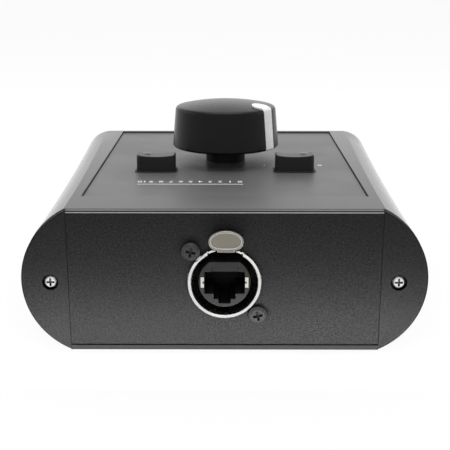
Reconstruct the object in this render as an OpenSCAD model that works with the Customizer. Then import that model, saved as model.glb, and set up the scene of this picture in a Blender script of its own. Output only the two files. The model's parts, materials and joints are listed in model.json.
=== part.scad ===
// Wired desktop remote control for a subwoofer: a low housing with one large volume knob, two keys and
// a round network connector with a push latch in its rear panel.
// Millimetres. +X right and +Y away as seen from the connector side, +Z up. The origin is the middle of
// the bounding box on the plane that the rubber feet stand on.

/* [Housing] */
// Width across the rounded sides
body_w = 120.6; // [100:0.1:140]
// Height without the feet
body_h = 43.2; // [36:0.1:50]
// Depth from the rear panel face to the front wall
body_d = 134.5; // [115:0.5:155]
// How much larger the side radius at the rear is than half the height
side_over = 2.2; // [0.6:0.1:4]
// Corner radius of the sides at the front
front_r = 10.7; // [8:0.1:16]
// Side wall thickness
wall = 2.4; // [2:0.1:3.5]
// Thickness of the shell top around the control panel
top_t = 4.0; // [3.6:0.1:5]
// Thickness of the end caps and the rear panel with its tongues
cap_t = 2.5; // [2:0.1:4]
// Width of an end cap, from its seam with the rear panel to the side
cap_w = 13.94; // [12:0.1:18]
// Seam between the rear parts and the shell
seam_gap = 0.5; // [0.2:0.1:0.8]
// Chamfer on the outer edges of the rear panel and the end caps
edge_c = 0.5; // [0.2:0.1:0.8]
// Thickness of the bottom plate
plate_t = 1.4; // [1:0.1:2.5]
// Height of the rubber feet
foot_h = 2.5; // [1.5:0.1:6]
// Diameter of the rubber feet
foot_dia = 12; // [8:0.5:16]

/* [Control panel] */
// Shell rim between the cap seam line and the recess
side_rim = 1.9; // [1:0.1:5]
// Near edge of the recess behind the rear panel face
recess_y0 = 18.1; // [12:0.1:24]
// Shell rim between the recess and the front wall face
front_rim = 1.5; // [1:0.1:6]
// Depth of the panel face below the rim
recess_depth = 0.7; // [0.3:0.1:2]
// Thickness of the control panel
panel_t = 1.2; // [1:0.1:2]
// Thickness of the circuit boards
board_t = 1.6; // [1:0.1:2]
// Height of the standoffs between board and panel
standoff_h = 7.9; // [6:0.1:12]

/* [Knob] */
// Knob axis behind the rear panel face
knob_y = 74.5; // [70:0.1:85]
// Diameter at the bottom edge
knob_dia = 38.5; // [30:0.1:42]
// Diameter where the side would meet the dome
knob_top_dia = 36.1; // [28:0.1:40]
// Height of the knob at its crown
knob_h = 16.4; // [13:0.1:22]
// Rise of the domed top above the rim
knob_dome = 2.2; // [1:0.1:4]
// Radius of the shoulder between side and dome
shoulder_r = 1.4; // [0.8:0.1:2]
// Gap between knob and control panel
knob_gap = 6.05; // [3:0.1:8]
// Width of the white pointer on the side
pointer_w = 5; // [2:0.1:7]
// Diameter of the pointer's round end on the top
pointer_dot = 6.2; // [3:0.1:8]
// How far the pointer's top stands above the dome
pointer_raise = 0.6; // [0.3:0.1:1.5]
// Angle of the pointer at rest, from the rear panel towards +X
pointer_angle = 56.3; // [0:0.1:180]
// Diameter of the potentiometer shaft
shaft_dia = 6; // [4:0.1:8]

/* [Keys] */
// Key centres to each side of the middle
key_x = 24.2; // [18:0.1:32]
// Key centre behind the rear panel face
key_y = 58.4; // [55:0.1:70]
// Width of a key
key_w = 13.5; // [8:0.1:18]
// Depth of a key
key_d = 7; // [5:0.1:10]
// Height of a key above the control panel
key_h = 6.05; // [3:0.1:8]
// Depth of the finger dish in a key top
key_dish = 0.6; // [0.2:0.1:1]
// Stroke of a key
key_stroke = 1.5; // [0.3:0.1:2]

/* [Connector] */
// How far the connector centre lies below half the height
conn_drop = 0.2; // [0:0.1:1]
// Diameter of the bright ring
ring_dia = 21.84; // [20:0.1:24]
// Inner diameter of the ring
ring_in_dia = 19.8; // [18:0.1:21]
// How far the ring stands out of the panel
ring_proud = 1.2; // [0.5:0.1:2]
// Diameter of the insert with the jack
insert_dia = 15.4; // [14:0.1:17]
// Screw offsets from the connector centre
conn_screw = 9.9; // [9:0.1:12]
// Width of the push tab
tab_w = 10; // [8:0.1:12]
// Height of the push tab
tab_h = 5.9; // [5:0.1:7]
// How far the push tab stands out of the panel
tab_proud = 2.6; // [2:0.1:3]

/* [Hidden] */
$fn = 96;
rear_y = -(body_d - tab_proud) / 2;
mid_z = body_h / 2;
side_r = mid_z + side_over;
seam_x = body_w / 2 - cap_w;
port_x = seam_x + 5.24;
conn_z = mid_z - conn_drop;
recess_x = seam_x - side_rim;
recess_y1 = body_d - front_rim;
ledge = 4.1;
board_x = recess_x - ledge - 1.5;
board_y0 = recess_y0 + 8.9;
board_y1 = recess_y1 - 9;
standoff_x = board_x - 4;
standoff_ys = [board_y0 + 5, board_y1 - 5];
bottom_screw_x = seam_x - 3.36;
bottom_screw_ys = [14, body_d - 14.5];
foot_x = seam_x - 12.36;
foot_ys = [24, body_d - 24.5];
panel_z = body_h - recess_depth;
board_z = panel_z - panel_t - standoff_h;
knob_z = panel_z + knob_gap;
board_under = board_z - board_t;
dish_r = (key_w * key_w / 4 + key_dish * key_dish) / (2 * key_dish);
header_z = conn_z - 8.4;
conn_board_y = 24.5;
tab_x = 0.45;
tab_z = 10.67;
pin_y = 3.5;
pin_z = 9.9;
gap = 0.05;
arc_n = 12;
shell_ys = [cap_t + seam_gap, for (k = [1 : 6]) body_d * k / 7, body_d];

// All modules below draw in body coordinates: the rear panel face at y 0, the bottom plate's underside at z 0.
module place() { translate([0, rear_y, foot_h]) children(); }
module along_y(r, y0, y1) { translate([0, y0, 0]) rotate([-90, 0, 0]) cylinder(r = r, h = y1 - y0); }
module box(x0, x1, y0, y1, z0, z1) { translate([x0, y0, z0]) cube([x1 - x0, y1 - y0, z1 - z0]); }
module at_conn() { translate([0, 0, conn_z]) children(); }
module both() { children(); mirror([1, 0, 0]) children(); }

// One cross-section of the housing: round sides at the rear that become tight corners at the front.
function section(y, w, top, bot) =
  let (t = pow(y / body_d, 1.65), r = side_r + (front_r - side_r) * t, ri = r - w, xc = body_w / 2 - r,
       zc = mid_z + 0.3 + (mid_z - 0.3 - front_r) * t, zl = body_h - zc,
       hi = asin(min(1, (body_h - top - zc) / ri)), lo = asin(min(1, (zl - bot) / ri)))
  concat(
    [for (i = [0 : arc_n]) let (a = -lo * (1 - i / arc_n)) [xc + ri * cos(a), y, zl + ri * sin(a)]],
    [for (i = [0 : arc_n]) let (a = hi * i / arc_n) [xc + ri * cos(a), y, zc + ri * sin(a)]],
    [for (i = [0 : arc_n]) let (a = hi * (1 - i / arc_n)) [-xc - ri * cos(a), y, zc + ri * sin(a)]],
    [for (i = [0 : arc_n]) let (a = -lo * i / arc_n) [-xc - ri * cos(a), y, zl + ri * sin(a)]]);

module loft(ys, w, top, bot) {
  n = 4 * (arc_n + 1);
  m = len(ys);
  polyhedron(
    points = [for (y = ys) each section(y, w, top, bot)],
    faces = concat(
      [[for (i = [0 : n - 1]) n - 1 - i]],
      [[for (i = [0 : n - 1]) (m - 1) * n + i]],
      [for (j = [0 : m - 2]) for (i = [0 : n - 1]) let (k = (i + 1) % n) [j * n + i, (j + 1) * n + k, (j + 1) * n + i]],
      [for (j = [0 : m - 2]) for (i = [0 : n - 1]) let (k = (i + 1) % n) [j * n + i, j * n + k, (j + 1) * n + k]]));
}

module cross_slot(size, arm, depth) {
  for (a = [0, 90]) rotate([0, 0, a]) translate([-size / 2, -arm / 2, -depth]) cube([size, arm, depth + 1]);
}

// A pan-head screw along -Z: the head sits on z 0, the shank goes down.
module pan_screw(head_r, head_h, shank_r, length, slot = 0, arm = 0.6) {
  difference() {
    union() {
      cylinder(r = head_r, h = head_h * 0.6);
      translate([0, 0, head_h * 0.6]) cylinder(r1 = head_r, r2 = head_r * 0.72, h = head_h * 0.4);
      translate([0, 0, -length]) cylinder(r = shank_r, h = length + 0.1, $fn = 48);
    }
    translate([0, 0, head_h]) cross_slot(slot > 0 ? slot : head_r * 1.25, arm, head_h * 0.8);
  }
}

module top_shell() place() color([0.23, 0.23, 0.24]) {
  difference() {
    union() {
      difference() {
        loft(shell_ys, 0, 0, 0);
        loft([cap_t, body_d / 3, body_d * 2 / 3, body_d - 3], wall, top_t, plate_t + 4);
      }
      both() {
        translate([port_x, 0, conn_z]) along_y(3.4, cap_t, cap_t + 14);
        box(port_x - 4.1, body_w / 2 - 1.5, cap_t, cap_t + 14, conn_z - 1.5, conn_z + 1.5);
      }
    }
    box(-seam_x - 0.1, seam_x + 0.1, -1, body_d - 3, -1, plate_t + gap);
    box(-recess_x + 4.7, recess_x - 4.7, -1, body_d - 3, -1, plate_t + 5);
    box(-recess_x, recess_x, recess_y0, recess_y1, panel_z - panel_t, body_h + 1);
    box(-recess_x + ledge, recess_x - ledge, recess_y0 + 4, recess_y1 - 4, body_h - top_t - 2, body_h + 1);
    both() translate([port_x, 0, conn_z]) along_y(1.25, -1, cap_t + 12.5, $fn = 48);
    for (y = bottom_screw_ys) both() translate([bottom_screw_x, y, -1]) cylinder(r = 1.45, h = 8, $fn = 48);
  }
}

module bottom_plate() place() color([0.2, 0.2, 0.21]) difference() {
  box(-seam_x, seam_x, 0, body_d - 3.1, 0, plate_t);
  for (y = bottom_screw_ys) both() translate([bottom_screw_x, y, -1]) cylinder(r = 1.7, h = 4, $fn = 48);
}

module rear_panel() place() color([0.2, 0.2, 0.21]) difference() {
  union() {
    translate([-seam_x + gap, 0, 0]) rotate([90, 0, 90]) linear_extrude(height = 2 * (seam_x - gap)) polygon([
      [0, plate_t + 0.4], [cap_t, plate_t + 0.4], [cap_t, body_h], [edge_c, body_h], [0, body_h - edge_c]]);
    box(-seam_x - 2.94, seam_x + 2.94, 1.5, cap_t, 4, body_h - 4.2);
  }
  at_conn() {
    along_y(11.1, -1, 5);
    box(-2.9, 3.8, -1, 5, 0, 12.2);
    for (s = [-1, 1]) translate([s * conn_screw, 0, -s * conn_screw]) along_y(1.6, -1, 5, $fn = 48);
  }
}

module end_cap() difference() {
  intersection() {
    translate([body_w / 2 - side_r, 0, mid_z]) rotate([90, 0, 0]) rotate_extrude($fn = 160)
      polygon([[0, 0], [side_r - edge_c, 0], [side_r, -edge_c], [side_r, -cap_t], [0, -cap_t]]);
    translate([seam_x, 0, 0]) rotate([90, 0, 90]) linear_extrude(height = body_w) polygon([
      [-1, 0], [cap_t + 1, 0], [cap_t + 1, body_h], [edge_c, body_h], [-1, body_h - edge_c - 1]]);
  }
  box(seam_x - 1, seam_x + 3.04, 1.45, cap_t + 1, 3.9, body_h - 4.1);
  translate([port_x, 0, conn_z]) { along_y(1.35, -1, 4, $fn = 48); along_y(2.4, -1, 1.5, $fn = 64); }
}
module right_end_cap() place() color([0.21, 0.21, 0.22]) end_cap();
module left_end_cap() place() color([0.21, 0.21, 0.22]) mirror([1, 0, 0]) end_cap();

module end_cap_screws() place() color([0.75, 0.75, 0.76])
  for (s = [-1, 1]) translate([s * port_x, 1.5, conn_z]) rotate([90, 0, 0]) pan_screw(1.97, 1.3, 1.2, 10);

module bottom_screws() place() color([0.3, 0.3, 0.31])
  for (s = [-1, 1]) for (y = bottom_screw_ys) translate([s * bottom_screw_x, y, 0]) rotate([180, 0, 0]) pan_screw(2.7, 1.6, 1.4, 5);

module rubber_feet() place() color([0.05, 0.05, 0.05])
  for (s = [-1, 1]) for (y = foot_ys) translate([s * foot_x, y, -foot_h]) {
    cylinder(r1 = foot_dia / 2 - 0.5, r2 = foot_dia / 2, h = 0.5);
    translate([0, 0, 0.5]) cylinder(d = foot_dia, h = foot_h - 0.5);
  }

module key_hole(x, w, d, z0, z1, r) translate([x, key_y, z0])
  linear_extrude(height = z1 - z0) union() {
    square([w - 2 * r, d], center = true);
    square([w, d - 2 * r], center = true);
    for (a = [-1, 1]) for (b = [-1, 1]) translate([a * (w / 2 - r), b * (d / 2 - r)]) circle(r = r, $fn = 48);
  }

module control_panel() place() color([0.24, 0.24, 0.25]) difference() {
  box(-recess_x + 0.2, recess_x - 0.2, recess_y0 + 0.2, recess_y1 - 0.2, panel_z - panel_t, panel_z);
  translate([0, knob_y, panel_z - 3]) cylinder(r = 4.7, h = 6);
  for (s = [-1, 1]) key_hole(s * key_x, key_w + 0.4, key_d + 0.4, panel_z - 3, panel_z + 3, 1.8);
}

module key_bezels() place() color([0.07, 0.07, 0.07]) for (s = [-1, 1]) difference() {
  key_hole(s * key_x, key_w + 1.3, key_d + 1.3, panel_z, panel_z + 0.4, 2.2);
  key_hole(s * key_x, key_w + 0.4, key_d + 0.4, panel_z - 1, panel_z + 1, 1.8);
}

module panel_standoffs() place() color([0.7, 0.68, 0.6])
  for (s = [-1, 1]) for (y = standoff_ys) translate([s * standoff_x, y, board_z]) difference() {
    cylinder(r = 2.6, h = standoff_h);
    translate([0, 0, -1]) cylinder(r = 1.25, h = 6.5, $fn = 48);
  }

module board_screws() place() color([0.6, 0.6, 0.6])
  for (s = [-1, 1]) for (y = standoff_ys) translate([s * standoff_x, y, board_z - board_t]) rotate([180, 0, 0])
    pan_screw(2.2, 1.5, 1.2, 5);

module control_board() place() color([0.1, 0.35, 0.2]) difference() {
  box(-board_x, board_x, board_y0, board_y1, board_under, board_z);
  for (s = [-1, 1]) for (y = standoff_ys) translate([s * standoff_x, y, board_z - 4]) cylinder(r = 1.5, h = 8, $fn = 48);
}

module pot_body() place() color([0.5, 0.5, 0.5]) translate([0, knob_y, 0]) difference() {
  union() {
    translate([0, 0, board_z]) cylinder(r = 8.5, h = standoff_h - 0.8);
    translate([0, 0, board_z + 5]) cylinder(r = 4.5, h = panel_z + 4.2 - board_z - 5);
  }
  translate([0, 0, board_z + 1.2]) cylinder(r = 7.4, h = 4.4);
  translate([0, 0, board_z + 2]) cylinder(r = shaft_dia / 2 + 0.1, h = 30);
}

module pot_washer() place() color([0.6, 0.6, 0.6]) translate([0, knob_y, panel_z]) difference() {
  cylinder(r = 7.3, h = 0.5);
  translate([0, 0, -1]) cylinder(r = 4.55, h = 3);
}

module pot_nut() place() color([0.07, 0.07, 0.07]) translate([0, knob_y, panel_z + 0.5]) difference() {
  cylinder(r = 7.1, h = 4.6);
  translate([0, 0, -1]) cylinder(r = 4.55, h = 8);
}

module switch_body(x) place() color([0.12, 0.12, 0.13]) translate([x, key_y, board_z]) difference() {
  translate([-6, -6, 0]) cube([12, 12, 3.9]);
  translate([0, 0, 1]) cylinder(r = 3.1, h = 5);
}
module left_switch_body() switch_body(-key_x);
module right_switch_body() switch_body(key_x);

module board_header() place() color([0.85, 0.83, 0.75]) box(-8, 8, 38, 44, board_under - 6, board_under);

module connector_header() place() color([0.85, 0.83, 0.75]) box(-8, 8, conn_board_y + board_t, conn_board_y + board_t + 6, header_z, header_z + 6);

module ribbon_cable() place() color([0.55, 0.55, 0.58]) translate([-6.5, conn_board_y + board_t + 6, header_z])
  rotate([90, 0, 90]) linear_extrude(height = 13) polygon([[0, 2.5], [7.1, 2.5], [9.3, 4.7],
    [9.3, board_under - 6 - header_z], [8.4, board_under - 6 - header_z], [8.4, 5.1], [6.7, 3.4], [0, 3.4]]);

module connector_board() place() color([0.1, 0.35, 0.2])
  box(-12, 12, conn_board_y, conn_board_y + board_t, conn_z - 12.4, conn_z + 12.6);

module connector_shell() place() color([0.8, 0.8, 0.8]) at_conn() difference() {
  union() {
    rotate([90, 0, 0]) rotate_extrude($fn = 128) polygon([
      [ring_in_dia / 2, -22], [ring_dia / 2, -22], [ring_dia / 2, ring_proud - 0.3], [ring_dia / 2 - 0.3, ring_proud],
      [ring_in_dia / 2 + 0.3, ring_proud], [ring_in_dia / 2, ring_proud - 0.3]]);
    difference() {
      box(-13, 13, cap_t, cap_t + 2, plate_t + 7 - conn_z, body_h - top_t - 1.8 - conn_z);
      along_y(ring_in_dia / 2 + 0.4, 0, 8);
    }
  }
  intersection() {
    box(-4.9, 5.4, -3, 8, 6.5, 20);
    along_y(ring_dia / 2 - 0.5, -3, 8);
  }
  box(-2.65, 3.35, -3, 8, 6.5, 20);
  for (x = [-4.9, 5.4]) translate([x, 0, 9.5]) rotate([0, x * 7, 0]) box(-0.25, 0.25, -3, -0.3, -1, 2);
  translate([-9, pin_y, pin_z]) rotate([0, 90, 0]) cylinder(r = 0.62, h = 18, $fn = 32);
  for (s = [-1, 1]) translate([s * conn_screw, 0, -s * conn_screw]) {
    along_y(1.4, -1, 8, $fn = 48);
    along_y(3.4, -3, -gap);
  }
}

module connector_insert() place() color([0.05, 0.05, 0.05]) at_conn() difference() {
  union() {
    along_y(insert_dia / 2, 0.3, 22);
    along_y(ring_in_dia / 2 - gap, 14, 22);
  }
  box(-9, 9, -1, 8, 6.3, 12);
  box(-6, 6, -1, 14, -3.56, 3.26);
  box(-3.25, 3.25, -1, 14, -5.25, -3);
  box(-1.85, 1.85, -1, 14, -6.63, -5);
  both() box(5.95, 7.15, -1, 8, -1.67, 1.67);
  box(-4.3, 4.3, 3, 23, 3, 4.1);
  box(-3.85, 4.2, -1, 0.7, 3, 4.8);
}

module jack_contacts() place() color([0.85, 0.65, 0.3]) at_conn() for (i = [0 : 7])
  translate([(i - 3.5) * 1.02 - 0.2, 0, 0]) rotate([90, 0, 90]) linear_extrude(height = 0.4)
    polygon([[3.1, 4.05], [24.45, 4.05], [24.45, 3.7], [4.4, 3.7], [12.2, 0.5], [12.05, 0.15], [3.1, 3.8]]);

module shield_contacts() place() color([0.7, 0.7, 0.7]) at_conn() both() difference() {
  box(6.1, 7.1, 0.1, 7.95, -1.62, 1.62);
  box(5.5, 6.55, -1, 3, -0.35, 0.35);
}

module connector_screws() place() color([0.06, 0.06, 0.06]) at_conn() for (s = [-1, 1])
  translate([s * conn_screw, 0, -s * conn_screw]) rotate([90, 0, 0]) rotate([0, 0, s * 12]) pan_screw(2.75, 1.8, 1.35, 8, 2.9, 0.75);

module latch_pin() place() color([0.7, 0.7, 0.7]) at_conn()
  translate([-7.3, pin_y, pin_z]) rotate([0, 90, 0]) cylinder(r = 0.58, h = 14.6, $fn = 32);

// Outline of the push tab: half an ellipse above, squarer below, pulled in by d.
module tab_shape(d) let (w = tab_w / 2 - d, up = tab_h * 0.53, n = 32) translate([tab_x, tab_z + tab_h - up]) polygon(concat(
  [for (i = [0 : n]) let (a = 180 * i / n) [w * cos(a), (up - d) * sin(a)]],
  [for (i = [1 : n - 1]) let (a = 180 + 180 * i / n)
    [w * sign(cos(a)) * pow(abs(cos(a)), 0.72), -(tab_h - up - d) * pow(abs(sin(a)), 0.72)]]));
module tab_slab(d, y0, y1) translate([0, y1, 0]) rotate([90, 0, 0]) linear_extrude(height = y1 - y0) tab_shape(d);

module push_latch() place() color([0.5, 0.48, 0.42]) at_conn() difference() {
  union() {
    tab_slab(0, -tab_proud, -tab_proud + 1.2);
    box(tab_x - 2.5, tab_x + 2.5, -tab_proud, -tab_proud + 1.2, pin_z + 0.35, tab_z + 1);
    box(tab_x - 2.5, tab_x + 2.5, -tab_proud + 0.6, pin_y, pin_z + 0.35, pin_z + 1.3);
    translate([tab_x - 2.5, pin_y, pin_z]) rotate([0, 90, 0]) cylinder(r = 1.1, h = 5, $fn = 48);
  }
  tab_slab(0.5, -tab_proud - 1, -tab_proud + 0.25);
  translate([-9, pin_y, pin_z]) rotate([0, 90, 0]) cylinder(r = 0.62, h = 18, $fn = 32);
}

// The knob's outer profile, a dome, a shoulder and a tapered side, pulled in by d and its top raised by up.
module knob_profile(d, up) let (
    slope = atan((knob_dia - knob_top_dia) / 2 / (knob_h - knob_dome - 0.5)),
    nz = sin(slope), nx = cos(slope),
    z2 = knob_h - knob_dome - 0.76 * shoulder_r,
    x2 = (nx * knob_dia / 2 + nz * 0.5 - shoulder_r - nz * z2) / nx,
    dome_r = (x2 * x2 + pow(knob_h - z2, 2) - shoulder_r * shoulder_r) / (2 * (knob_h - shoulder_r - z2)),
    zc = knob_h - dome_r, a1 = atan2(z2 - zc, x2))
  polygon(concat(
    [for (i = [0 : 9]) let (a = 90 + (a1 - 90) * i / 9) [(dome_r - d) * cos(a), up + zc + (dome_r - d) * sin(a)]],
    [for (i = [1 : 7]) let (a = a1 + (slope - a1) * i / 7)
      [x2 - up * tan(slope) + (shoulder_r - d) * cos(a), up + z2 + (shoulder_r - d) * sin(a)]],
    [[knob_dia / 2 - d / nx, 0.5], [knob_dia / 2 - 0.5 - d / nx, 0], [0, 0]]));
module pointer_cut(w, dot) rotate([0, 0, pointer_angle - 90]) {
  translate([14.5, -w / 2, -1]) cube([20, w, 30]);
  translate([14.9, 0, -1]) cylinder(d = dot, h = 30, $fn = 64);
}
module knob_skin(d, up) rotate_extrude($fn = 128) difference() {
  knob_profile(0, up);
  knob_profile(d, 0);
}

module volume_knob() place() color([0.08, 0.08, 0.08]) translate([0, knob_y, knob_z]) difference() {
  rotate_extrude($fn = 128) knob_profile(0, 0);
  difference() {
    translate([0, 0, -1]) cylinder(r = knob_dia / 2 - 3, h = 11.5);
    translate([0, 0, -2]) cylinder(r = 5.5, h = 13);
  }
  translate([0, 0, -1]) cylinder(r = shaft_dia / 2 + gap, h = 11);
  difference() {
    pointer_cut(pointer_w, pointer_dot);
    rotate_extrude($fn = 128) knob_profile(0.8, 0);
  }
}

module knob_pointer() place() color([0.95, 0.95, 0.93]) translate([0, knob_y, knob_z])
  intersection() { knob_skin(0.76, pointer_raise); pointer_cut(pointer_w - 0.04, pointer_dot - 0.04); }

module pot_shaft() place() color([0.75, 0.75, 0.75]) translate([0, knob_y, board_z + 2.6])
  cylinder(d = shaft_dia, h = knob_z + 9.9 - board_z - 2.6);

module pot_rotor() place() color([0.3, 0.2, 0.15]) translate([0, knob_y, board_z + 2.6]) difference() {
  cylinder(r = 7, h = 1.6);
  translate([0, 0, -1]) cylinder(d = shaft_dia + 0.02, h = 4);
}

module key_cap(x) place() color([0.07, 0.07, 0.07]) {
  difference() {
    union() {
      key_hole(x, key_w, key_d, panel_z - 2, panel_z + key_h - 0.35, 1.6);
      key_hole(x, key_w - 0.5, key_d - 0.5, panel_z + key_h - 0.4, panel_z + key_h, 1.4);
    }
    translate([x, key_y, panel_z - 3]) cube([key_w - 3, key_d - 3, 2], center = true);
    translate([x, 0, panel_z + key_h - key_dish + dish_r]) along_y(dish_r, key_y - key_d, key_y + key_d, $fn = 360);
  }
  key_hole(x, key_w + 2, key_d + 2, panel_z - 2.5, panel_z - 1.5, 1.6);
  translate([x, key_y, board_z + 5.45]) cylinder(r = 2, h = 4);
}
module left_key_cap() key_cap(-key_x);
module right_key_cap() key_cap(key_x);

module plunger(x) place() color([0.75, 0.75, 0.72]) translate([x, key_y, board_z + 3]) cylinder(r = 3, h = 2.45);
module left_plunger() plunger(-key_x);
module right_plunger() plunger(key_x);

top_shell();
bottom_plate();
rear_panel();
left_end_cap();
right_end_cap();
end_cap_screws();
bottom_screws();
rubber_feet();
control_panel();
key_bezels();
panel_standoffs();
board_screws();
control_board();
pot_body();
pot_nut();
pot_washer();
left_switch_body();
right_switch_body();
board_header();
ribbon_cable();
connector_header();
connector_board();
connector_shell();
connector_insert();
jack_contacts();
shield_contacts();
connector_screws();
latch_pin();
push_latch();
volume_knob();
knob_pointer();
pot_shaft();
pot_rotor();
left_key_cap();
left_plunger();
right_key_cap();
right_plunger();
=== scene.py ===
"""Looks for the subwoofer remote control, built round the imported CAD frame."""
import json
import math

import bpy
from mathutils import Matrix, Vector


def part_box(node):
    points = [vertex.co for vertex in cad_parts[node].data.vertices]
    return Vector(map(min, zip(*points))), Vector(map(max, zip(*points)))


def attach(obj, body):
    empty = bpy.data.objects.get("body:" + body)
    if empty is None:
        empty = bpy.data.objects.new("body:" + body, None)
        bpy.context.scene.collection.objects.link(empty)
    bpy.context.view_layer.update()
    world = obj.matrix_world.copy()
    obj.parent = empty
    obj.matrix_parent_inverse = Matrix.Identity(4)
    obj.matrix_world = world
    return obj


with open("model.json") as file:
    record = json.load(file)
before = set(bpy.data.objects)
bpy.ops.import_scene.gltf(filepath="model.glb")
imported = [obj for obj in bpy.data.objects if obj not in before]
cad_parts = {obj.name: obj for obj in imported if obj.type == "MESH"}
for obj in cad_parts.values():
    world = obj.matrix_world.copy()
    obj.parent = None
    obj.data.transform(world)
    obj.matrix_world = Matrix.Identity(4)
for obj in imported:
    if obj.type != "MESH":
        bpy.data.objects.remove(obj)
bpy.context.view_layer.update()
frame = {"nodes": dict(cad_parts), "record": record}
NODES = frame["nodes"]
scene = bpy.context.scene


def add_object(name, data):
    """A new object with this data, linked to the scene."""
    obj = bpy.data.objects.new(name, data)
    scene.collection.objects.link(obj)
    return obj


def aim(obj, place, way):
    """Puts an object at a place, in metres, with its -Z axis along the way."""
    obj.location = place
    obj.rotation_mode = "QUATERNION"
    obj.rotation_quaternion = way.to_track_quat("-Z", "Y")


# ---------------------------------------------------------------- camera
FOCAL_PIXELS, PHOTO_PIXELS, SENSOR = 895.4, 450, 36
PITCH, YAW, DISTANCE = math.radians(15.95), math.radians(-0.28), 259.98
REAR_Y, FOOT_H = -65.95, 2.5  # the rear panel's face and the height of the feet, in millimetres
TARGET = Vector((0.142, REAR_Y, 39.15 + FOOT_H))

forward = Vector((
    math.sin(YAW) * math.cos(PITCH), math.cos(YAW) * math.cos(PITCH), -math.sin(PITCH)))
camera_data = bpy.data.cameras.new("camera")
camera_data.lens, camera_data.sensor_width = FOCAL_PIXELS / PHOTO_PIXELS * SENSOR, SENSOR
camera_data.clip_start, camera_data.clip_end = 0.01, 20
camera = add_object("camera", camera_data)
aim(camera, (TARGET - forward * DISTANCE) / 1000, forward)
scene.camera = camera


# ---------------------------------------------------------------- node helpers
EDGE_TURN, FACE_TURN = 0.9, 0.985  # cosine between rounded and true normal, on an edge and a face


def put(tree, socket, value):
    """Links a node's output to a socket, or sets a plain value on it, a colour with its alpha."""
    if isinstance(value, bpy.types.NodeSocket):
        tree.links.new(value, socket)
    elif isinstance(value, tuple) and len(value) == 3 and len(socket.default_value) == 4:
        socket.default_value = (*value, 1)
    else:
        socket.default_value = value


class Graph:
    """A small helper that builds one node material."""

    def __init__(self, name):
        self.mat = bpy.data.materials.new(name)
        self.mat.use_nodes = True
        self.tree = self.mat.node_tree
        self.bsdf = self.tree.nodes["Principled BSDF"]
        self.coord = self.add("ShaderNodeTexCoord").outputs["Object"]

    def add(self, kind, **values):
        node = self.tree.nodes.new(kind)
        for key, value in values.items():
            setattr(node, key, value)
        return node

    def fill(self, node, **inputs):
        """Sets or links the node's inputs, with _ for a space in their names."""
        for key, value in inputs.items():
            put(self.tree, node.inputs[key.replace("_", " ")], value)
        return node

    def noise(self, scale, detail=2.0, rough=0.5):
        node = self.add("ShaderNodeTexNoise")
        self.fill(node, Scale=scale, Detail=detail, Roughness=rough, Vector=self.coord)
        return node.outputs["Fac"]

    def ramp(self, value, low, high, start=0.35, end=0.65):
        """The value stretched from start..end to low..high, and held there."""
        node = self.add("ShaderNodeMapRange")
        self.fill(node, From_Min=start, From_Max=end, To_Min=low, To_Max=high, Value=value)
        return node.outputs["Result"]

    def mix(self, factor, a, b, blend="MIX"):
        """A mix of two colours, each of them a socket or a plain colour."""
        node = self.add("ShaderNodeMix", data_type="RGBA", blend_type=blend)
        return self.fill(node, Factor=factor, A=a, B=b).outputs["Result"]

    def along(self, axis):
        """The object coordinate on one axis, in metres."""
        node = self.add("ShaderNodeSeparateXYZ")
        return self.fill(node, Vector=self.coord).outputs[axis]

    def bump(self, height, strength, distance, normal):
        node = self.add("ShaderNodeBump")
        self.fill(node, Strength=strength, Distance=distance, Height=height, Normal=normal)
        return node.outputs["Normal"]

    def round_edges(self, radius):
        node = self.add("ShaderNodeBevel", samples=6)
        return self.fill(node, Radius=radius).outputs["Normal"]

    def edges(self, width):
        """1 along the edges and 0 on the faces: where the rounded and the true normal part."""
        turn = self.add("ShaderNodeVectorMath", operation="DOT_PRODUCT")
        put(self.tree, turn.inputs[0], self.round_edges(width))
        put(self.tree, turn.inputs[1], self.add("ShaderNodeNewGeometry").outputs["True Normal"])
        return self.ramp(turn.outputs["Value"], 1.0, 0.0, EDGE_TURN, FACE_TURN)

    def finish(self, color, rough, normal=None, metallic=0.0, specular=0.5):
        self.fill(self.bsdf, Base_Color=color, Roughness=rough, Metallic=metallic,
                  Specular_IOR_Level=specular)
        if normal is not None:
            self.fill(self.bsdf, Normal=normal)
        return self.mat


# ---------------------------------------------------------------- materials
COAT_CLOUD = 60  # noise scales, per metre
PLASTIC_FINE, PLASTIC_CLOUD = 4000, 150
METAL_FINE, METAL_CLOUD = 1500, 200
COAT_VARIES, PLASTIC_VARIES, METAL_VARIES = 0.03, 0.04, 0.05  # roughness, up and down
COAT_BUMP, FINE_BUMP = 0.0002, 0.0001  # bump distances, in metres
COAT_DEEP, PLASTIC_DEEP, METAL_DEEP = 0.1, 0.15, 0.03  # what is left in a deep hole's painted shade
HOLE_FROM, HOLE_TO = 0.35, 0.85  # Ambient Occlusion in a deep hole and on an open face
SLICK_FROM, SLICK_TO = 0.74, 0.96  # Layer Weight's Facing where a satin coat turns slick


def grey(value, cool=0.0):
    """A plain grey, with a little more blue where it is cool."""
    return (value, value, value + cool)


def deepen(g, color, depth, low, only_local=True):
    """Painted shade: darker in holes, slots and corners, of the same piece or between pieces."""
    if not depth:
        return color
    hole = g.add("ShaderNodeAmbientOcclusion", samples=8, only_local=only_local)
    g.fill(hole, Distance=depth)
    open_share = g.ramp(hole.outputs["AO"], low, 1.0, HOLE_FROM, HOLE_TO)
    return g.mix(1.0, color, open_share, "MULTIPLY")


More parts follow.
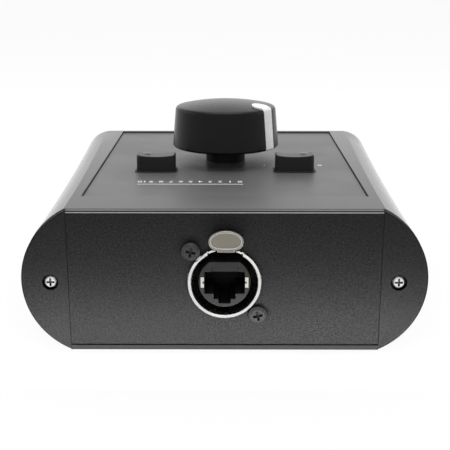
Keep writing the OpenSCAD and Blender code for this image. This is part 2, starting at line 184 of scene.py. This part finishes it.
def coat(name, dark, light, rough, grain, grain_size, edge=0.00025, specular=0.5,
         stops=(), slick=None, shade=0.0):
    """Black powder coat or paint: a fine grain in the bump and a slight change of tone and gloss.

    Each of the stops, (axis, from, to, tone), paints one tone past a place on an axis.
    With slick, the roughness falls to it where the coat is seen along its surface.
    """
    g = Graph(name)
    speck = g.noise(1 / grain_size, 3, 0.6)
    color = g.mix(g.ramp(speck, 0, 1, 0.3, 0.7), grey(dark), grey(light, 0.0005))
    if slick:
        facing = g.add("ShaderNodeLayerWeight").outputs["Facing"]
        roughness = g.ramp(facing, rough, slick, SLICK_FROM, SLICK_TO)
    else:
        roughness = g.ramp(g.noise(COAT_CLOUD), rough - COAT_VARIES, rough + COAT_VARIES)
    for axis, start, end, tone in stops:
        color = g.mix(g.ramp(g.along(axis), 0.0, 1.0, start, end), color, grey(tone))
    # Painted shade: Ambient Occlusion darkens the coat in hollows and beside other pieces.
    color = deepen(g, color, shade, COAT_DEEP, False)
    normal = g.bump(speck, grain, COAT_BUMP, g.round_edges(edge))
    return g.finish(color, roughness, normal, 0, specular)


def plastic(name, color, rough, edge=0.0003, specular=0.5, depth=0.0):
    """Plain plastic, rubber or paint, from a colour or one grey value."""
    if isinstance(color, float):
        color = grey(color)
    g = Graph(name)
    fine = g.noise(PLASTIC_FINE)
    dark, light = tuple(c * 0.9 for c in color), tuple(min(1, c * 1.1) for c in color)
    tone = g.mix(g.ramp(g.noise(PLASTIC_CLOUD), 0, 1), dark, light)
    normal = g.bump(fine, 0.08, FINE_BUMP, g.round_edges(edge))
    gloss = g.ramp(fine, rough - PLASTIC_VARIES, rough + PLASTIC_VARIES)
    # Painted shade: with a depth, Ambient Occlusion darkens the piece's own hollows.
    return g.finish(deepen(g, tone, depth, PLASTIC_DEEP), gloss, normal, 0, specular)


def metal(name, color, rough, depth=0.0, low=METAL_DEEP, painted_highlight=None):
    """Plated or cast metal; its last argument (edge width, tone) paints a highlight on edges."""
    if isinstance(color, float):
        color = grey(color)
    g = Graph(name)
    fine = g.noise(METAL_FINE)
    tone = g.mix(g.ramp(g.noise(METAL_CLOUD), 0, 1), tuple(c * 0.92 for c in color), color)
    # Painted highlight: the edges lighter where their bevels would catch the light.
    if painted_highlight:
        tone = g.mix(g.edges(painted_highlight[0]), tone, grey(painted_highlight[1]))
    normal = g.bump(fine, 0.05, FINE_BUMP, g.round_edges(0.00015))
    gloss = g.ramp(fine, rough - METAL_VARIES, rough + METAL_VARIES)
    # Painted shade: with a depth, Ambient Occlusion darkens the piece's own hollows.
    return g.finish(deepen(g, tone, depth, low), gloss, normal, 1, 0.5)


REAR, TOP = REAR_Y / 1000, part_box("rear_panel")[1][2]
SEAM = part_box("right_end_cap")[0][0]
# On the rear panel: a painted highlight on the top bevel, the dark joint line above it, painted
# light from above on the top behind them, and the dark joint lines beside the two end caps.
PANEL_STOPS = (
    ("Z", TOP - 0.00055, TOP - 0.0005, 0.4),
    ("Z", TOP - 0.0003, TOP - 0.00025, 0.0),
    ("Y", REAR + 0.0005, REAR + 0.0008, 0.12),
    ("X", SEAM - 0.0002, SEAM - 0.00015, 0.0),
    ("X", 0.0002 - SEAM, 0.00015 - SEAM, 0.0),
)
CAP_STOPS = (("Y", REAR + 0.0001, REAR + 0.0003, 0.0),)  # the dark side walls of the end caps

# Below, depth and shade paint shade into hollows; the latch's edge tone is a painted highlight.
MATERIALS = {
    "shell_black": coat("shell_coat", 0.08, 0.095, 0.43, 0.12, 0.00045, slick=0.08),
    "plate_black": coat("plate_coat", 0.008, 0.016, 0.5, 0.3, 0.0004, specular=0.15),
    "panel_black": coat("rear_panel_coat", 0.002, 0.018, 0.45, 0.7, 0.0005, 0.00015, 0.12,
                        PANEL_STOPS, shade=0.0012),
    "cap_black": coat("cap_coat", 0.004, 0.018, 0.5, 0.45, 0.0005, 0.00015, 0.12,
                      CAP_STOPS, shade=0.0012),
    "control_panel_black": coat("control_panel_coat", 0.09, 0.105, 0.45, 0.06, 0.0004),
    "screw_silver": metal("zinc", (0.8, 0.8, 0.79), 0.4, 0.0018, 0.12),
    "screw_black": metal("black_zinc", 0.1, 0.4),
    "foot_rubber": plastic("foot_rubber", 0.02, 0.8),
    "bezel_black": plastic("bezel_plastic", 0.015, 0.5, 0.0001),
    "standoff_brass": metal("standoff_brass", (0.75, 0.6, 0.35), 0.35),
    "inner_screw_steel": metal("inner_steel", 0.7, 0.35),
    "board_green": plastic("board_mask", (0.03, 0.18, 0.08), 0.4),
    "pot_metal": metal("pot_metal", 0.6, 0.4),
    "nut_black": plastic("nut_black", 0.004, 0.5, specular=0.15),
    "washer_steel": plastic("washer_black", 0.02, 0.4),
    "switch_black": plastic("switch_plastic", 0.03, 0.5),
    "header_cream": plastic("header_plastic", (0.7, 0.68, 0.58), 0.5),
    "cable_grey": plastic("ribbon_plastic", (0.4, 0.4, 0.42), 0.5),
    "ring_nickel": metal("nickel", (0.8, 0.79, 0.77), 0.24),
    "insert_black": plastic("insert_plastic", 0.012, 0.5, 0.0002, 0.15, 0.004),
    "contact_gold": metal("gold_plate", (0.83, 0.66, 0.3), 0.25),
    "shield_metal": metal("shield_tin", (0.7, 0.7, 0.64), 0.3),
    "connector_screw_black": plastic("black_steel", 0.012, 0.34, 0.00015, depth=0.0015),
    "pin_steel": metal("pin_steel", 0.6, 0.35),
    "latch_metal": metal("latch_zinc", (0.25, 0.232, 0.195), 0.42, painted_highlight=(0.00028, 0.85)),
    "knob_black": plastic("knob_plastic", 0.004, 0.25, 0.0006, 0.15),
    "pointer_white": plastic("pointer_paint", (0.97, 0.97, 0.96), 0.5, 0.0002),
    "shaft_metal": metal("shaft_metal", 0.7, 0.3),
    "rotor_brown": plastic("rotor_plastic", (0.25, 0.16, 0.1), 0.5),
    "key_black": plastic("key_plastic", 0.012, 0.35, 0.0004, 0.3),
    "plunger_white": plastic("plunger_plastic", (0.8, 0.8, 0.76), 0.4),
}


# ---------------------------------------------------------------- the CAD pieces
WELD, SHARP = 2e-7, 16  # metres between points that are one, degrees from which an edge is sharp


def smoother(angle):
    """Nodes that weld a mesh and shade it smooth, except over edges sharper than the angle."""
    tree = bpy.data.node_groups.new("smooth_shading", "GeometryNodeTree")
    for way in ("INPUT", "OUTPUT"):
        tree.interface.new_socket("Geometry", in_out=way, socket_type="NodeSocketGeometry")
    start, end = tree.nodes.new("NodeGroupInput"), tree.nodes.new("NodeGroupOutput")
    bare = tree.nodes.new("GeometryNodeRemoveAttribute")
    bare.inputs["Name"].default_value = "custom_normal"
    weld = tree.nodes.new("GeometryNodeMergeByDistance")
    weld.inputs["Distance"].default_value = WELD
    faces = tree.nodes.new("GeometryNodeSetShadeSmooth")
    faces.domain = "FACE"
    edges = tree.nodes.new("GeometryNodeSetShadeSmooth")
    edges.domain = "EDGE"
    bend = tree.nodes.new("GeometryNodeInputMeshEdgeAngle")
    soft = tree.nodes.new("FunctionNodeCompare")
    soft.data_type, soft.operation = "FLOAT", "LESS_THAN"
    soft.inputs[1].default_value = math.radians(angle)
    shape = start.outputs[0]
    for node in (bare, weld, faces, edges):
        tree.links.new(shape, node.inputs["Geometry"])
        shape = node.outputs["Geometry"]
    tree.links.new(shape, end.inputs[0])
    tree.links.new(bend.outputs["Unsigned Angle"], soft.inputs[0])
    tree.links.new(soft.outputs[0], edges.inputs["Shade Smooth"])
    return tree


SMOOTH = smoother(SHARP)
for part in frame["record"]["subparts"]:
    node = NODES[part["node"]]
    node.data.materials.clear()
    node.data.materials.append(MATERIALS[part["material_slot"]])
    node.modifiers.new("smooth_shading", "NODES").node_group = SMOOTH

# ---------------------------------------------------------------- lamp lenses in the keys
LENS_R, LENS_CROWN, LENS_FOOT = 1.45, 0.45, 0.3  # millimetres: radius, crown, part inside the key
LENS_DIP = 0.36  # how far the dish lies below the key's top there
LENS_X, LENS_Y = 27.8, 60.0
LENS_SIDES, LENS_RINGS = 32, 8
LENS = plastic("lens_plastic", 0.1, 0.12, 0.0001)


def lens(name, body, key, x):
    """A small round lens near the key's far outer corner: a foot in the key and a low crown."""
    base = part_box(key)[1][2] * 1000 - LENS_DIP
    levels = [(LENS_R, base - LENS_FOOT)]
    for i in range(LENS_RINGS):
        share = 1 - i / LENS_RINGS
        levels.append((LENS_R * share, base + LENS_CROWN * (1 - share * share)))
    turns = [i / LENS_SIDES * 2 * math.pi for i in range(LENS_SIDES)]
    y = REAR_Y + LENS_Y
    verts = [(x + r * math.cos(a), y + r * math.sin(a), z) for r, z in levels for a in turns]
    crown = len(verts)
    verts.append((x, y, base + LENS_CROWN))
    faces = [tuple(reversed(range(LENS_SIDES)))]
    for j in range(len(levels)):
        for i in range(LENS_SIDES):
            a, b = (j * LENS_SIDES + k % LENS_SIDES for k in (i, i + 1))
            up = (b + LENS_SIDES, a + LENS_SIDES) if j < LENS_RINGS else (crown,)
            faces.append((a, b, *up))
    mesh = bpy.data.meshes.new(name)
    mesh.from_pydata([tuple(v / 1000 for v in vert) for vert in verts], [], faces)
    mesh.materials.append(LENS)
    obj = add_object(name, mesh)
    obj.modifiers.new("smooth_shading", "NODES").node_group = SMOOTH
    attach(obj, body)


lens("left_key_lens", "left_key", "left_key_cap", -LENS_X)
lens("right_key_lens", "right_key", "right_key_cap", LENS_X)

# ---------------------------------------------------------------- prints on the control panel
PRINT = plastic("print_white", 0.8, 0.5, 0.00001)
PRINT_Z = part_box("control_panel")[1][2] + 2e-5  # 0.02 mm above the panel
# Millimetres behind the rear panel's face, and to the right of the middle as seen from the rear.
RULE_X, RULE_Y = (-29.0, 5.9), (36.75, 37.35)
ROW_X, ROW_STEP, ROW_Y, ROW_H = 4.9, 3.28, 40.7, 2.3
KEY_MARKS, KEY_MARK_Y, KEY_MARK_H = (("0", 34.0), ("1", 14.0)), 66.8, 2.2
STROKE_GAIN = 0.02  # how much fatter the digits are than the font's


def printed(name, mesh):
    """A flat print on the control panel, which rides on the housing."""
    obj = add_object(name, mesh)
    mesh.materials.clear()
    mesh.materials.append(PRINT)
    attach(obj, "housing")


def number(name, text, x, y, height):
    """Plain digits centred at x, y, for the user on the far side: their top points to -Y."""
    curve = bpy.data.curves.new(name + "_type", "FONT")
    curve.body, curve.resolution_u, curve.offset = text, 4, STROKE_GAIN
    helper = add_object(name + "_type", curve)
    bpy.context.view_layer.update()
    solved = helper.evaluated_get(bpy.context.evaluated_depsgraph_get())
    mesh = bpy.data.meshes.new_from_object(solved)
    bpy.data.objects.remove(helper)
    xs, ys = [v.co.x for v in mesh.vertices], [v.co.y for v in mesh.vertices]
    middle_x, middle_y = (max(xs) + min(xs)) / 2, (max(ys) + min(ys)) / 2
    scale = height / (max(ys) - min(ys))
    for v in mesh.vertices:
        across = x - (v.co.x - middle_x) * scale
        back = REAR_Y + y - (v.co.y - middle_y) * scale
        v.co = (across / 1000, back / 1000, PRINT_Z)
    printed(name, mesh)


rule = bpy.data.meshes.new("print_rule")
(x0, x1), (y0, y1) = RULE_X, RULE_Y
corners = ((x0, y0), (x1, y0), (x1, y1), (x0, y1))
rule.from_pydata([(x / 1000, (REAR_Y + y) / 1000, PRINT_Z) for x, y in corners], [], [(0, 1, 2, 3)])
printed("print_rule", rule)
for i in range(11):
    number(f"print_number_{i:02d}", str(i), ROW_X - i * ROW_STEP, ROW_Y, ROW_H)
for text, x in KEY_MARKS:
    number(f"print_key_{text}", text, x, KEY_MARK_Y, KEY_MARK_H)

# ---------------------------------------------------------------- light
WORLD_FRONT, WORLD_BACK = 0.5, 0.9  # the world's strength on the camera's side and behind the part
FRONT_Y, BACK_Y = -0.6, 0.5  # the directions between which it changes
SEEN_WHITE = ("Is Camera Ray", "Is Glossy Ray", "Is Transmission Ray")
LAMPS = (  # name, size, watts, place, target, seen in reflections
    ("top_soft", (0.7, 0.7), 3.6, (0, 0.05, 0.9), (0, 0, 0), True),
    ("side_soft_0", (0.5, 0.3), 0.3, (-0.6, 0.1, 0.3), (0, 0, 0.03), True),
    ("side_soft_2", (0.5, 0.3), 0.3, (0.6, 0.1, 0.3), (0, 0, 0.03), True),
    ("back_soft", (0.9, 0.3), 0.15, (0, 0.8, 0.32), (0, 0, 0.05), True),
    ("front_low", (0.15, 0.008), 0.13, (0, REAR - 0.022, 0.004), (0, REAR, 0.006), False),
)
scene.view_settings.view_transform = "Standard"


def seen(tree):
    """1 for camera, glossy and transmission rays, which see plain white, and 0 for all others."""
    path = tree.nodes.new("ShaderNodeLightPath")
    total = path.outputs[SEEN_WHITE[0]]
    for name in SEEN_WHITE[1:]:
        add = tree.nodes.new("ShaderNodeMath")
        add.operation, add.use_clamp = "ADD", True
        put(tree, add.inputs[0], total)
        put(tree, add.inputs[1], path.outputs[name])
        total = add.outputs[0]
    return total


# Soft surroundings: brighter above and behind, dimmer on the camera's side.
scene.world = bpy.data.worlds.new("studio")
scene.world.use_nodes = True
sky = scene.world.node_tree
way = sky.nodes.new("ShaderNodeSeparateXYZ")
depth = sky.nodes.new("ShaderNodeMapRange")
level = sky.nodes.new("ShaderNodeMix")
background = sky.nodes["Background"]
for node, key, value in (
        (way, "Vector", sky.nodes.new("ShaderNodeTexCoord").outputs["Generated"]),
        (depth, "From Min", FRONT_Y), (depth, "From Max", BACK_Y),
        (depth, "To Min", WORLD_FRONT), (depth, "To Max", WORLD_BACK),
        (depth, "Value", way.outputs["Y"]),
        (level, "Factor", seen(sky)), (level, "A", depth.outputs["Result"]), (level, "B", 1.0),
        (background, "Color", (1, 1, 1)), (background, "Strength", level.outputs["Result"])):
    put(sky, node.inputs[key], value)

for name, size, watts, place, target, mirrored in LAMPS:
    area = bpy.data.lights.new(name, "AREA")
    area.shape, area.size, area.size_y, area.energy = "RECTANGLE", size[0], size[1], watts
    lamp = add_object(name, area)
    aim(lamp, place, Vector(target) - Vector(place))
    lamp.visible_camera, lamp.visible_glossy = False, mirrored

# ---------------------------------------------------------------- stage
FLOOR_HALF = 4  # metres
FLOOR_WHITE, FLOOR_PALE, FLOOR_BOUNCE = 0.88, 0.95, 0.5  # glow where seen, colour where seen, else

mesh = bpy.data.meshes.new("floor")
corners = ((-1, -1), (1, -1), (1, 1), (-1, 1))
mesh.from_pydata([(x * FLOOR_HALF, y * FLOOR_HALF, 0) for x, y in corners], [], [(0, 1, 2, 3)])
floor = add_object("floor", mesh)
g = Graph("floor_paint")
white = seen(g.tree)
g.finish(g.mix(white, grey(FLOOR_BOUNCE), grey(FLOOR_PALE)), 0.9, specular=0.0)
share = g.add("ShaderNodeMath", operation="MULTIPLY")
blend = g.add("ShaderNodeMixShader")
for socket, value in (
        (share.inputs[0], white), (share.inputs[1], FLOOR_WHITE),
        (blend.inputs[0], share.outputs[0]), (blend.inputs[1], g.bsdf.outputs[0]),
        (blend.inputs[2], g.add("ShaderNodeEmission").outputs[0]),
        (g.tree.nodes["Material Output"].inputs["Surface"], blend.outputs[0])):
    put(g.tree, socket, value)
mesh.materials.append(g.mat)
